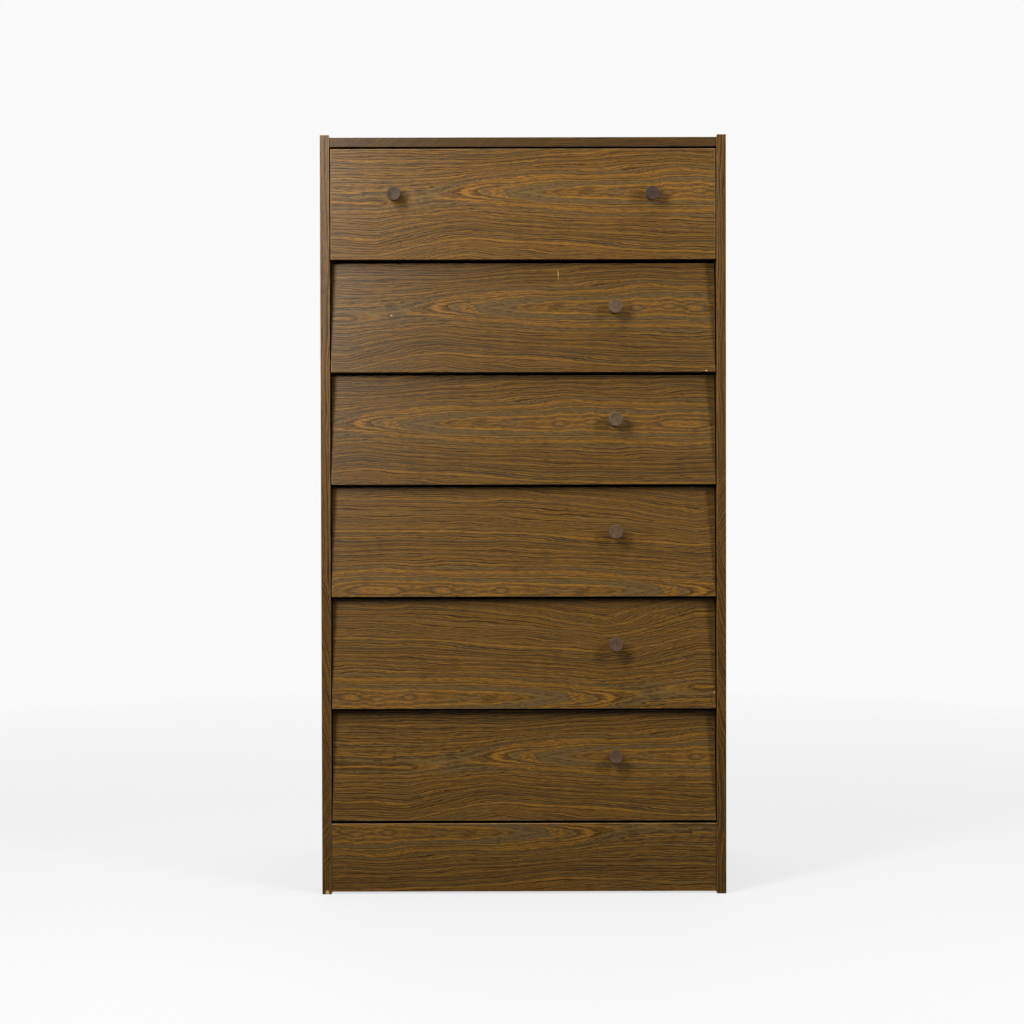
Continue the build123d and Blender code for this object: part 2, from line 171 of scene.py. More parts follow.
def board_grain(tree, along, across, origin=(0, 0, 0), lean=0.0):
    """(along, across, corner) on every face of a board whose grain runs along an axis.

    along and across are 0, 1 or 2 for X, Y, Z, and come out in mm. On the long edges and the ends
    the thickness stands in for across, and on the ends across stands in for along. corner is 1 on
    the rounded edges, where the parts of the normal add up to more than 1."""
    thick = 3 - along - across
    coordinates = add(tree, "TexCoord").outputs
    upright = add(tree, "Mapping", {"Vector": coordinates["Object"], "Location": origin,
                                    "Rotation": (-lean, 0, 0), "Scale": (MM, MM, MM)},
                  vector_type="TEXTURE")
    place = add(tree, "SeparateXYZ", {0: upright}).outputs
    facing = add(tree, "SeparateXYZ", {0: coordinates["Normal"]}).outputs
    looks = {}
    for axis in (across, along):
        size = add(tree, "Math", {0: facing[axis]}, operation="ABSOLUTE")
        looks[axis] = add(tree, "Math", {0: size, 1: FACING}, operation="GREATER_THAN")
    on_strip = add(tree, "Math", {0: looks[across], 1: looks[along]}, operation="MAXIMUM")
    strip = add(tree, "Math", {0: place[thick], 1: STRIP_SHIFT}, operation="ADD")
    end = add(tree, "Math", {0: place[across], 1: END_SHIFT}, operation="ADD")
    across_out = add(tree, "Mix", {0: on_strip, 2: place[across], 3: strip}, data_type="FLOAT")
    along_out = add(tree, "Mix", {0: looks[along], 2: place[along], 3: end}, data_type="FLOAT")
    sides = add(tree, "VectorMath", {0: coordinates["Normal"]}, operation="ABSOLUTE")
    slant = add(tree, "VectorMath", {0: sides, 1: (1, 1, 1)}, operation="DOT_PRODUCT")
    corner = add(tree, "MapRange", {"Value": slant, 1: FLAT, 2: ROUNDED})
    return along_out, across_out, corner


# %% [markdown]
# ## The printed oak foil
# The foil's picture is of a flat-sawn oak board, printed from a cylinder, so the same stretch of
# grain comes back on every board that is cut from the roll. Flat-sawn grain is a section through
# the growth rings at a shallow angle. The ring that a point belongs to is its distance from the
# tree's centre line: the square root of (distance across from the heart) squared plus (depth of
# the heart under the surface) squared. Where the depth falls along the board the rings open into
# nested arches, and where it rises again they close. The depth is a table along the roll. The
# tone of each ring is a second table, amber in some rings and grey-brown in others, and the late
# wood is one-dimensional noise of the ring distance, which draws fine dark lines that run along
# with the arches. Short strokes along the grain stand for the pores.

# %% Oak foil
# rubbed is the pale colour of the foil's rounded edges: partly worn foil, partly painted highlight
OAK = {"amber": "#895F20", "gold": "#80591F", "grey": "#69512C", "dark": "#322008",
       "pore": "#3A240A", "chip": "#C9A66B", "rubbed": "#A98654"}
oak = {name: linear(value) for name, value in OAK.items()}
ROLL_START, ROLL_ROUND = -450, 1060  # mm along the roll: start of the picture and its length
HEART_DEPTH = [                      # mm along the roll, mm that the heart lies under the surface
    (-450, 38), (-300, 38), (-200, 37), (-136, 34), (-84, 28), (-41, 23), (0, 19), (37, 16),
    (89, 13.5), (153, 12), (200, 9.5), (236, 8.5), (247, 6.5), (264, 8.5), (288, 9), (302, 6.5),
    (325, 9), (345, 6), (387, 9), (417, 8.5), (434, 5), (458, 4), (500, 7), (540, 14),
    (580, 28), (610, 38)]
RING_END = 210                       # mm, furthest ring in the tone table
random = np.random.default_rng(12)
RING_TONE = [                        # mm of ring distance, tone from 0 amber to 1 grey-brown
    (0, 0.1), (6.5, 0.15), (7.5, 0.9), (8.5, 0.8), (9.5, 0.2), (10.5, 0.25), (11.5, 0.8),
    (12.5, 0.7), (13.5, 0.25), (15.5, 0.1), (16.5, 0.95), (22, 1.0), (23, 0.2), (24.5, 0.2),
    (25.5, 0.9), (27, 0.8), (28, 0.1), (33, 0.2), (34.5, 0.8), (38, 0.8)]
LIGHT_BAND, DARK_BAND, BAND_WIDTH = (0.3, 0.5), (0.5, 0.8), (1.4, 4.2)    # from, to
edge, soften = 39.0, 0.6             # mm: where the drawn bands start, and their soft border
while edge < RING_END - 6:           # further out, light and dark bands take turns
    for tone in (random.uniform(*LIGHT_BAND), random.uniform(*DARK_BAND)):
        width = random.uniform(*BAND_WIDTH)
        RING_TONE += [(edge + soften, tone), (edge + width, tone)]
        edge += width + soften
RING_TONE.append((RING_END, 0.5))
RING_TONE = [(place, tone) for place, tone in RING_TONE if place <= RING_END]
print("ring bands", len(RING_TONE), "heart stations", len(HEART_DEPTH))

# %% Lookup tables, streaks and worn spots


def table(tree, value, low, high, points, top=1.0):
    """Looks value up in a table of (place, result) between low and high, as a smooth curve."""
    part = add(tree, "MapRange", {"Value": value, 1: low, 2: high})
    curve = add(tree, "FloatCurve", {"Value": part})
    line = curve.mapping.curves[0]
    scaled = sorted({((x - low) / (high - low), y / top) for x, y in points})
    while len(line.points) < len(scaled):
        line.points.new(0.5, 0.5)
    for point, place in zip(line.points, scaled):
        point.location = place
    curve.mapping.update()
    return add(tree, "Math", {0: curve, 1: top}, operation="MULTIPLY")


def streaks(tree, spot, length, width, detail=1.0, middle=0.0):
    """Noise drawn out along the grain, less middle: its blots are about length by width mm."""
    stretched = add(tree, "VectorMath", {0: spot, 1: (1 / length, 1 / width, 1)},
                    operation="MULTIPLY")
    noise = add(tree, "TexNoise", {"Vector": stretched, "Scale": 1, "Detail": detail})
    return add(tree, "Math", {0: noise, 1: middle}, operation="SUBTRACT")


def spots(tree, along, across, marks):
    """1 inside small worn spots, 0 outside, with a soft edge.

    A mark is (along, across, half length, half width) in mm, and a point's reach is the square
    root of (distance along / half length) squared plus (distance across / half width) squared."""
    total = 0.0
    for at_along, at_across, half_along, half_across in marks:
        squares = []
        for place, middle, half in ((along, at_along, half_along), (across, at_across, half_across)):
            gap = add(tree, "Math", {0: place, 1: middle}, operation="SUBTRACT")
            share = add(tree, "Math", {0: gap, 1: half}, operation="DIVIDE")
            squares.append(add(tree, "Math", {0: share, 1: share}, operation="MULTIPLY"))
        square = add(tree, "Math", {0: squares[0], 1: squares[1]}, operation="ADD")
        reach = add(tree, "Math", {0: square}, operation="SQRT")
        inside = add(tree, "MapRange", {"Value": reach, 1: 1.2, 2: 0.7})
        total = add(tree, "Math", {0: total, 1: inside}, operation="MAXIMUM")
    return total


# %% [markdown]
# ## From a place on the roll to a growth ring
# A real trunk is never a perfect cone. Three noises, from a hand's breadth down to a finger's,
# make the lines sway. Close to the heart a cut runs nearly level with the rings, so small bumps
# pull their outlines into long ragged teeth, and at the start of the roll the arches lean over.

# %% Growth rings
NOISE_SLICE, RING_SLICE = 3.0, 5.0   # slices of the noise, the same on every board
SWAYS = ((170, 45, 20.0), (60, 14, 4.5), (26, 5, 1.4))    # mm: length, width, amount
SQUEEZE = {1: -250, 2: 250, 3: 1.15, 4: 0.85}             # narrower rings later on the roll
DEPTH_TOP = 60                       # mm, deepest heart that the table can hold
DEPTH_WANDER = (26, 3, 3.0)          # mm: length, width, amount
TEETH = (24, 1.8)                    # mm: length, width
TEETH_AMOUNT = {1: 15, 2: 45, 3: 4.5, 4: 1.2}             # mm, large near the heart
LEANING = {1: -250, 2: -90, 3: 0.6, 4: 0.0}               # at the start of the roll only
LEAN_REACH = 18                      # mm across


def growth_rings(tree, along, across):
    """(ring, across, spot): the ring distance in mm, the swayed across, and the noise place.

    ring is the length of (across, heart's depth), plus teeth, plus a part of across."""
    spot = add(tree, "CombineXYZ", {0: along, 1: across, 2: NOISE_SLICE})
    for length, width, amount in SWAYS:
        sway = streaks(tree, spot, length, width, middle=0.5)
        across = add(tree, "Math", {0: sway, 1: amount, 2: across}, operation="MULTIPLY_ADD")
    squeeze = add(tree, "MapRange", {"Value": along, **SQUEEZE})
    across = add(tree, "Math", {0: across, 1: squeeze}, operation="MULTIPLY")

    since_start = add(tree, "Math", {0: along, 1: ROLL_START}, operation="SUBTRACT")
    turns = add(tree, "Math", {0: since_start, 1: ROLL_ROUND}, operation="DIVIDE")
    turn = add(tree, "Math", {0: turns}, operation="FRACT")
    stations = [((place - ROLL_START) / ROLL_ROUND, depth) for place, depth in HEART_DEPTH]
    depth = table(tree, turn, 0, 1, stations, DEPTH_TOP)
    length, width, amount = DEPTH_WANDER
    wander = streaks(tree, spot, length, width, middle=0.5)
    depth = add(tree, "Math", {0: wander, 1: amount, 2: depth}, operation="MULTIPLY_ADD")

    offset = add(tree, "CombineXYZ", {0: across, 1: depth})
    ring = add(tree, "VectorMath", {0: offset}, operation="LENGTH")
    teeth = streaks(tree, spot, *TEETH, middle=0.5)
    amount = add(tree, "MapRange", {"Value": ring, **TEETH_AMOUNT})
    ring = add(tree, "Math", {0: teeth, 1: amount, 2: ring}, operation="MULTIPLY_ADD")
    reach = add(tree, "Math", {0: across, 1: -LEAN_REACH}, operation="MAXIMUM")
    reach = add(tree, "Math", {0: reach, 1: LEAN_REACH}, operation="MINIMUM")
    leaning = add(tree, "MapRange", {"Value": along, **LEANING})
    ring = add(tree, "Math", {0: reach, 1: leaning, 2: ring}, operation="MULTIPLY_ADD")
    return ring, across, spot


# %% [markdown]
# ## The inks
# The printer lays three inks over each other: a ground that goes from amber through gold to
# grey-brown with the ring's tone, dark lines of late wood, and fine strokes for the pores. Late
# wood is one-dimensional noise of the ring distance, so it follows the arches. The lines fade
# close to the heart, where the real ones are cut too level to show. The pores of oak are a
# quarter of a millimetre wide, and are drawn at about one, so that they can be seen at all.

# %% Inks of the print
PATCH = (110, 11, 2)                 # mm: length, width, and detail of lighter and darker patches
PATCH_AMOUNT = 0.6
LATE_WOOD = ((2.1, 0.95, 0.0), (1.15, 0.88, 40.0))        # mm between lines, strength, shift
LATE_EDGE = {1: 0.515, 2: 0.555, 3: 0}                    # noise where a line starts and is full
LATE_BREAKS = {1: 0.33, 2: 0.50, 3: 0.45, 4: 1}           # a line's strength along its length
BREAK_LENGTH = 80                    # mm
HEART_CLEAR = {1: 22, 2: 46, 3: 0.6, 4: 1}                # line strength from the heart outwards
FAN = {1: -250, 2: -90, 3: 0, 4: 0.35}                    # closes up lines beside the heart
PORES = (18, 0.9, 2)                 # mm: length, width, and detail
PORE_INK = {1: 0.5, 2: 0.66, 3: 0, 4: 0.6}


def foil_inks(tree, along, across):
    """(colour, pore, spot) of the print at a place on the roll."""
    ring, across, spot = growth_rings(tree, along, across)
    along_rings = add(tree, "CombineXYZ", {0: along, 1: ring, 2: RING_SLICE})
    patch = streaks(tree, along_rings, *PATCH, middle=0.5)
    tone = table(tree, ring, 0, RING_END, RING_TONE)
    tone = add(tree, "Math", {0: patch, 1: PATCH_AMOUNT, 2: tone}, operation="MULTIPLY_ADD")
    to_gold = add(tree, "MapRange", {"Value": tone, 1: 0.15, 2: 0.55})
    to_grey = add(tree, "MapRange", {"Value": tone, 1: 0.5, 2: 0.9})
    colour = add(tree, "Mix", {0: to_gold, 6: oak["amber"], 7: oak["gold"]}, data_type="RGBA")
    colour = add(tree, "Mix", {0: to_grey, 6: colour, 7: oak["grey"]}, data_type="RGBA")

    clear = add(tree, "MapRange", {"Value": ring, **HEART_CLEAR})
    fan = add(tree, "MapRange", {"Value": along, **FAN})
    aside = add(tree, "Math", {0: across}, operation="ABSOLUTE")
    drawn = add(tree, "Math", {0: aside, 1: fan, 2: ring}, operation="MULTIPLY_ADD")
    for pitch, strength, shift in LATE_WOOD:
        place = add(tree, "Math", {0: drawn, 1: 1 / pitch, 2: shift}, operation="MULTIPLY_ADD")
        late = add(tree, "TexNoise", {"W": place, "Scale": 1, "Detail": 1},
                   noise_dimensions="1D")
        line = add(tree, "MapRange", {"Value": late, **LATE_EDGE, 4: strength})
        broken = streaks(tree, along_rings, BREAK_LENGTH, 2 * pitch)
        broken = add(tree, "MapRange", {"Value": broken, **LATE_BREAKS})
        line = add(tree, "Math", {0: line, 1: broken}, operation="MULTIPLY")
        line = add(tree, "Math", {0: line, 1: clear}, operation="MULTIPLY")
        colour = add(tree, "Mix", {0: line, 6: colour, 7: oak["dark"]}, data_type="RGBA")
    pore = add(tree, "MapRange", {"Value": streaks(tree, spot, *PORES), **PORE_INK})
    colour = add(tree, "Mix", {0: pore, 6: colour, 7: oak["pore"]}, data_type="RGBA")
    return colour, pore, spot


# %% [markdown]
# ## The foil as a surface
# The foil is paper soaked in resin, printed, and sealed with a satin varnish, then glued round
# the chipboard. To the eye it is a soft broad sheen over the print, a shade duller in the embossed
# pores. Decades of hands have rubbed the print paler along the edges. The same pale colour on the
# rounded edges also stands in for the highlight that they catch, so there it is partly wear and
# partly painted highlight.

# %% Satin foil of one board
WEAR_AND_HIGHLIGHT_BLOTS = (30, 60, 2)              # mm: length, width, and detail of the pale edges: wear and painted highlight
WEAR_AND_HIGHLIGHT_AMOUNT = {1: 0.35, 2: 0.6, 3: 0.2, 4: 1.0}
SATIN = {1: 0, 2: 0.6, 3: 0.35, 4: 0.45}                  # roughness from smooth foil to pores
VARNISH_IOR, VARNISH_SHINE = 1.48, 0.38
PORE_DEPTH = 0.06 * MM


def oak_foil(name, along_axis, across_axis, roll, heart, turned_round=False, origin=(0, 0, 0),
             lean=0.0, marks=(), shade=1.0):
    """Satin oak-print foil on chipboard, for one board.

    roll is the place on the roll of the board's middle, and heart the height of the print's heart
    on the board, both in mm. turned_round lays the foil on with its other end first. marks are
    worn spots on the board, and shade makes it darker."""
    material, tree = new_material(name)
    board_along, board_across, corner = board_grain(tree, along_axis, across_axis, origin, lean)
    way = -1 if turned_round else 1
    along = add(tree, "Math", {0: board_along, 1: way, 2: roll}, operation="MULTIPLY_ADD")
    across = add(tree, "Math", {0: board_across, 1: way, 2: -way * heart},
                 operation="MULTIPLY_ADD")
    colour, pore, spot = foil_inks(tree, along, across)

    blots = add(tree, "MapRange", {"Value": streaks(tree, spot, *WEAR_AND_HIGHLIGHT_BLOTS), **WEAR_AND_HIGHLIGHT_AMOUNT})
    # rounded edges made paler: partly worn foil, partly a painted highlight along the edges
    rub = add(tree, "Math", {0: corner, 1: blots}, operation="MULTIPLY")
    colour = add(tree, "Mix", {0: rub, 6: colour, 7: oak["rubbed"]}, data_type="RGBA")
    if shade < 1.0:
        colour = add(tree, "HueSaturation", {"Value": shade, "Color": colour})
    if marks:
        worn = spots(tree, board_along, board_across, marks)
        colour = add(tree, "Mix", {0: worn, 6: colour, 7: oak["chip"]}, data_type="RGBA")
    bump = add(tree, "Bump", {"Strength": 0.25, "Distance": PORE_DEPTH, "Height": pore},
               invert=True)
    rough = add(tree, "MapRange", {"Value": pore, **SATIN})
    surface = add(tree, "BsdfPrincipled", {
        "Base Color": colour, "Roughness": rough, "Normal": bump,
        "IOR": VARNISH_IOR, "Specular IOR Level": VARNISH_SHINE})
    add(tree, "OutputMaterial", {"Surface": surface})
    return material


# %% [markdown]
# ## Foil on each board
# Every board is cut from the same roll, a little further on each time. The first three fronts and
# the lowest one show the same arches, slid sideways; the fourth, the fifth and the plinth were cut
# with the roll the other way round. The side panels carry the print upright. A few small worn
# spots show the pale chipboard.

# %% Cover the fronts and the case
#         place on the roll, height of the heart, turned round
PRINTS = {1: (0, 115, False), 2: (52, 112, False), 3: (186, 106, False),
          4: (210, 10, True), 5: (50, 19, True), 6: (-50, 110, False)}
#         how much darker than the palette each front is printed
SHADES = {1: 0.92, 2: 0.79, 3: 0.84, 4: 0.96, 5: 0.98, 6: 0.99}
#         along, across, half length, half width
MARKS = {2: [(61, 170, 0.35, 9.0), (-228, 99, 1.4, 0.8), (316, 1.5, 2.0, 0.8)],
         5: [(330, 27.5, 1.2, 1.8)]}
CORNER = (3, STRIP_SHIFT - 341, 4.0, 3.0)                 # on the left side's front edge

for number in DRAWERS:
    y, z, lean = front_plane(number)
    foil = oak_foil(f"oak_foil_front_{number}", 0, 2, *PRINTS[number], (0, y, z), lean,
                    MARKS.get(number, ()), SHADES[number])
    dress(f"drawer_{number}_front", foil)

dress("plinth_board", oak_foil("oak_foil_plinth", 0, 2, 13, 106, True))
dress("top_panel", oak_foil("oak_foil_top", 0, 1, 200, -60, shade=0.45))
dress("bottom_panel", oak_foil("oak_foil_bottom", 0, 1, 60, 20))
dress("side_panel_left", oak_foil("oak_foil_side_left", 2, 1, -300, 30, marks=[CORNER],
                                  shade=0.79))
dress("side_panel_right", oak_foil("oak_foil_side_right", 2, 1, 500, -40, True, shade=0.73))
print("foil materials", len([m for m in bpy.data.materials if m.name.startswith("oak_foil")]))

# %% [markdown]
# ## The drawer boxes
# Inside, such a drawer is plainer: thin chipboard wrapped in a pale printed foil, and a bottom of
# hardboard, which is pressed wood fibre, smooth and brown on its face and marked by the wire
# screen on its back.

# %% Pale box foil and hardboard
PALE = {"ground": "#A98B62", "streak": "#8E6F47", "light": "#BDA078"}
WIDE_GRAIN, FINE_GRAIN = (220, 9, 2), (30, 1.1, 2)        # mm: length, width, and detail
PALE_TONE = {1: 0.35, 2: 0.65}
PALE_STREAK = {1: 0.5, 2: 0.75, 3: 0, 4: 0.7}
STREAK_DEPTH, PALE_ROUGH = 0.05 * MM, 0.5
BROWN = {"fibre": "#62442B", "dark": "#472E1B", "light": "#77583A"}
CLOUD, FIBRE, SCREEN = 160, 1.8, 2.4                      # mm: clouds, flecks, pitch of the wires
CLOUD_TONE = {1: 0.3, 2: 0.7, 3: 0.25, 4: 0.75}
FLECKS = {1: 0.5, 2: 0.72, 3: 0, 4: 0.75}
FLECK_DENT = 0.4                     # how deep a fleck lies, as a share of the wires' depth
SCREEN_DEPTH = 0.15 * MM
PRESSED_ROUGH, SCREENED_ROUGH = 0.42, 0.8


def pale_foil(name, along_axis, across_axis, seed):
    """Pale printed paper foil, straight-grained: calm and even, a little duller than the fronts."""
    material, tree = new_material(name)
    along, across, _ = board_grain(tree, along_axis, across_axis)
    spot = add(tree, "CombineXYZ", {0: along, 1: across, 2: seed})
    wide, fine = (streaks(tree, spot, *grain) for grain in (WIDE_GRAIN, FINE_GRAIN))
    tone = add(tree, "MapRange", {"Value": wide, **PALE_TONE})
    streak = add(tree, "MapRange", {"Value": fine, **PALE_STREAK})
    ground, light, dark = (linear(PALE[tint]) for tint in ("ground", "light", "streak"))
    colour = add(tree, "Mix", {0: tone, 6: ground, 7: light}, data_type="RGBA")
    colour = add(tree, "Mix", {0: streak, 6: colour, 7: dark}, data_type="RGBA")
    bump = add(tree, "Bump", {"Strength": 0.2, "Distance": STREAK_DEPTH, "Height": streak},
               invert=True)
    surface = add(tree, "BsdfPrincipled", {"Base Color": colour, "Normal": bump,
                                           "Roughness": PALE_ROUGH})
    add(tree, "OutputMaterial", {"Surface": surface})
    return material


def hardboard(name, screen_axis, screen_side):
    """Hardboard: wood fibre pressed hot against a wire screen.

    It looks brown and flecked, leathery on its pressed face, and dull and finely ribbed on the
    screen's face, which looks to screen_side along screen_axis. The ribs' height is the product
    of one sine wave along each of the two directions in the face."""
    material, tree = new_material(name)
    coordinates = add(tree, "TexCoord").outputs
    place = add(tree, "VectorMath", {0: coordinates["Object"], 1: (1000, 1000, 1000)},
                operation="MULTIPLY")                     # metres to mm
    clouds = add(tree, "TexNoise", {"Vector": place, "Scale": 1 / CLOUD, "Detail": 3})
    fibres = add(tree, "TexNoise", {"Vector": place, "Scale": 1 / FIBRE, "Detail": 3,
                                    "Distortion": 1.5})
    tone = add(tree, "MapRange", {"Value": clouds, **CLOUD_TONE})
    speck = add(tree, "MapRange", {"Value": fibres, **FLECKS})
    fibre, light, dark = (linear(BROWN[tint]) for tint in ("fibre", "light", "dark"))
    colour = add(tree, "Mix", {0: tone, 6: fibre, 7: light}, data_type="RGBA")
    colour = add(tree, "Mix", {0: speck, 6: colour, 7: dark}, data_type="RGBA")
    facing = add(tree, "SeparateXYZ", {0: coordinates["Normal"]}).outputs[screen_axis]
    towards = add(tree, "Math", {0: facing, 1: screen_side}, operation="MULTIPLY")
    screened = add(tree, "Math", {0: towards, 1: 0.5}, operation="GREATER_THAN")
    xyz = add(tree, "SeparateXYZ", {0: place}).outputs
    wires = 1.0
    for axis in sorted({0, 1, 2} - {screen_axis}):
        phase = add(tree, "Math", {0: xyz[axis], 1: tau / SCREEN}, operation="MULTIPLY")
        wave = add(tree, "Math", {0: phase}, operation="SINE")
        wires = add(tree, "Math", {0: wires, 1: wave}, operation="MULTIPLY")
    relief = add(tree, "Math", {0: wires, 1: screened}, operation="MULTIPLY")
    relief = add(tree, "Math", {0: speck, 1: -FLECK_DENT, 2: relief}, operation="MULTIPLY_ADD")
    bump = add(tree, "Bump", {"Strength": 0.6, "Distance": SCREEN_DEPTH, "Height": relief})
    rough = add(tree, "MapRange", {"Value": screened, 3: PRESSED_ROUGH, 4: SCREENED_ROUGH})
    surface = add(tree, "BsdfPrincipled", {"Base Color": colour, "Normal": bump,
                                           "Roughness": rough})
    add(tree, "OutputMaterial", {"Surface": surface})
    return material


side_foil = pale_foil("pale_foil_sides", 1, 2, 1.0)
back_foil = pale_foil("pale_foil_backs", 0, 2, 2.0)
bottom_board = hardboard("hardboard_bottoms", 2, -1)
for number in DRAWERS:
    dress(f"drawer_{number}_side_left", side_foil)
    dress(f"drawer_{number}_side_right", side_foil)
    dress(f"drawer_{number}_back", back_foil)
    dress(f"drawer_{number}_bottom", bottom_board)
dress("back_panel", hardboard("hardboard_back", 1, 1))
print("drawer boxes dressed", len(DRAWERS))

# %% [markdown]
# ## Runners, screws, nails and dowels
# The runners are moulded nylon, cream and waxy, dulled where the grooves rub them. Screws are
# zinc plated steel, nails bright drawn wire, dowels bare beech.

# %% Small parts
NYLON_RUB = (300, 12, 900)           # noise cells in a metre along X, Y, Z
NYLON = {"clean": "#C9B58C", "rubbed": "#9C8357"}
NYLON_IOR = 1.53
BEECH_FLECKS = (250, 1400, 1400)     # the same
BEECH = {"wood": "#C79A6B", "fleck": "#96683E"}
BARE_WOOD_ROUGH = 0.7
STEEL_BLOTCHES = 900                 # noise cells in a metre
ZINC_SHADES, ZINC_ROUGH = ("#C9C6BC", "#8F8B7E"), 0.3
WIRE_SHADES, WIRE_ROUGH = ("#B4B2AC", "#7C7468"), 0.35
WORN_STEEL = 0.2                     # how much rougher the blotches are


def nylon():
    """Moulded nylon: waxy cream, with dull grey-brown streaks where the grooves slide on it."""
    material, tree = new_material("cream_nylon")
    place = add(tree, "TexCoord").outputs["Object"]
    stretched = add(tree, "Mapping", {"Vector": place, "Scale": NYLON_RUB})
    rub = add(tree, "TexNoise", {"Vector": stretched, "Scale": 1, "Detail": 3})
    amount = add(tree, "MapRange", {"Value": rub, 1: 0.4, 2: 0.7, 3: 0, 4: 0.7})
    colour = add(tree, "Mix", {0: amount, 6: linear(NYLON["clean"]), 7: linear(NYLON["rubbed"])},
                 data_type="RGBA")
    rough = add(tree, "MapRange", {"Value": rub, 1: 0.3, 2: 0.7, 3: 0.35, 4: 0.55})
    surface = add(tree, "BsdfPrincipled", {"Base Color": colour, "Roughness": rough,
                                           "IOR": NYLON_IOR})
    add(tree, "OutputMaterial", {"Surface": surface})
    return material


def steel(name, light, dark, roughness):
    """Steel in two shades: sharp small highlights, broken up by dull blotches."""
    material, tree = new_material(name)
    place = add(tree, "TexCoord").outputs["Object"]
    blotch = add(tree, "TexNoise", {"Vector": place, "Scale": STEEL_BLOTCHES, "Detail": 4})
    amount = add(tree, "MapRange", {"Value": blotch, 1: 0.35, 2: 0.7})
    colour = add(tree, "Mix", {0: amount, 6: linear(light), 7: linear(dark)}, data_type="RGBA")
    rough = add(tree, "MapRange", {"Value": blotch, 1: 0.3, 2: 0.7, 3: roughness,
                                   4: roughness + WORN_STEEL})
    surface = add(tree, "BsdfPrincipled", {"Base Color": colour, "Roughness": rough,
                                           "Metallic": 1.0})
    add(tree, "OutputMaterial", {"Surface": surface})
    return material


def beech():
    """Bare beech: pink-brown and dry, with short dark flecks."""
    material, tree = new_material("bare_beech")
    place = add(tree, "TexCoord").outputs["Object"]
    stretched = add(tree, "Mapping", {"Vector": place, "Scale": BEECH_FLECKS})
    fleck = add(tree, "TexNoise", {"Vector": stretched, "Scale": 1, "Detail": 3})
    amount = add(tree, "MapRange", {"Value": fleck, 1: 0.45, 2: 0.75})
    colour = add(tree, "Mix", {0: amount, 6: linear(BEECH["wood"]), 7: linear(BEECH["fleck"])},
                 data_type="RGBA")
    surface = add(tree, "BsdfPrincipled", {"Base Color": colour, "Roughness": BARE_WOOD_ROUGH})
    add(tree, "OutputMaterial", {"Surface": surface})
    return material


# Zinc plating is bluish white and dulls in blotches. Drawn wire is a darker, yellower grey.
zinc = steel("zinc_plated_steel", *ZINC_SHADES, ZINC_ROUGH)
cream, wood_pin = nylon(), beech()
dress("runners_left", cream)
dress("runners_right", cream)
dress("runner_screws", zinc)
dress("back_panel_nails", steel("drawn_wire_steel", *WIRE_SHADES, WIRE_ROUGH))
dress("case_dowels", wood_pin)
for number in DRAWERS:
    dress(f"drawer_{number}_dowels", wood_pin)
    dress(f"drawer_{number}_knob_screw" + ("s" if number == 1 else ""), zinc)
undressed = [name for name, node in nodes.items() if not node.data.materials]
print("CAD nodes", len(nodes), "without a material yet", undressed)

# %% [markdown]
# ## The knobs
# Each knob is a moulded brown plastic button, 25 mm across the face and tapering to 19 mm at the
# front board. It is a surface of revolution: a profile of (radius, height) is carried round an
# axis. The profile is a flat base with its edge just broken, the flared side, a rounded rim and
# a face that is hollowed by half a millimetre, which catches a soft highlight along one edge.

# %% Turned knobs
AROUND = 96                          # points round the axis
KNOB_HEIGHT = 110 * MM               # centre above the front's bottom edge
KNOB_LENGTH = 24.0                   # mm, from the front to the knob's face, and so on in mm:
FACE_RADIUS, BASE_RADIUS = 12.5, 9.5
BROKEN_EDGE, RIM, HOLLOW = 0.4, 1.6, 0.5
BASE_RING = 4.5                      # radius of a ring of points that keeps the base flat
SWELL = ((0.9, 6.0), (1.9, 13.0), (2.6, 19.0))            # out from the base radius, height
RIM_STEPS, FACE_STEPS = 9, 14


def knob_profile():
    """(radius, height) in metres from the middle of the base to the middle of the face.

    The rim is a quarter circle. The hollow of the face is a shallow bowl: its depth is HOLLOW
    times (1 less the square of (radius / the radius inside the rim))."""
    inside = FACE_RADIUS - RIM
    side = [(0, 0), (BASE_RING, 0), (BASE_RADIUS - BROKEN_EDGE, 0), (BASE_RADIUS, BROKEN_EDGE)]
    side += [(BASE_RADIUS + out, height) for out, height in SWELL]
    side += [(FACE_RADIUS, KNOB_LENGTH - RIM)]
    turn = np.linspace(0, np.pi / 2, RIM_STEPS)[1:]
    rim = np.stack([inside + RIM * np.cos(turn), KNOB_LENGTH - RIM + RIM * np.sin(turn)], 1)
    radii = np.linspace(inside, 0, FACE_STEPS)[1:]
    bowl = np.stack([radii, KNOB_LENGTH - HOLLOW * (1 - (radii / inside) ** 2)], 1)
    return np.concatenate([np.array(side), rim, bowl]) * MM


def turned(profile, steps):
    """Vertices and faces of a profile carried round the y axis.

    At each angle x is the radius times its cosine, z the radius times its sine, and y is minus
    the height. The first and last points lie on the axis, and each becomes one pole vertex."""
    angles = np.arange(steps) * tau / steps
    rings = profile[1:-1]
    ring_x = np.outer(rings[:, 0], np.cos(angles))
    ring_z = np.outer(rings[:, 0], np.sin(angles))
    ring_y = np.repeat(-rings[:, 1:2], steps, axis=1)
    body = np.stack([ring_x, ring_y, ring_z], 2).reshape(-1, 3)
    poles = np.array([[0, -profile[0, 1], 0], [0, -profile[-1, 1], 0]])
    around = np.arange(steps)
    after = (around + 1) % steps
    faces = []
    for row in range(len(rings) - 1):
        a, b = row * steps, (row + 1) * steps
        faces += np.stack([a + around, a + after, b + after, b + around], 1).tolist()
    first, last = len(body), len(body) + 1
    top = (len(rings) - 1) * steps
    faces += [[first, int(n), int(m)] for m, n in zip(around, after)]
    faces += [[last, int(top + m), int(top + n)] for m, n in zip(around, after)]
    return np.concatenate([body, poles]), faces


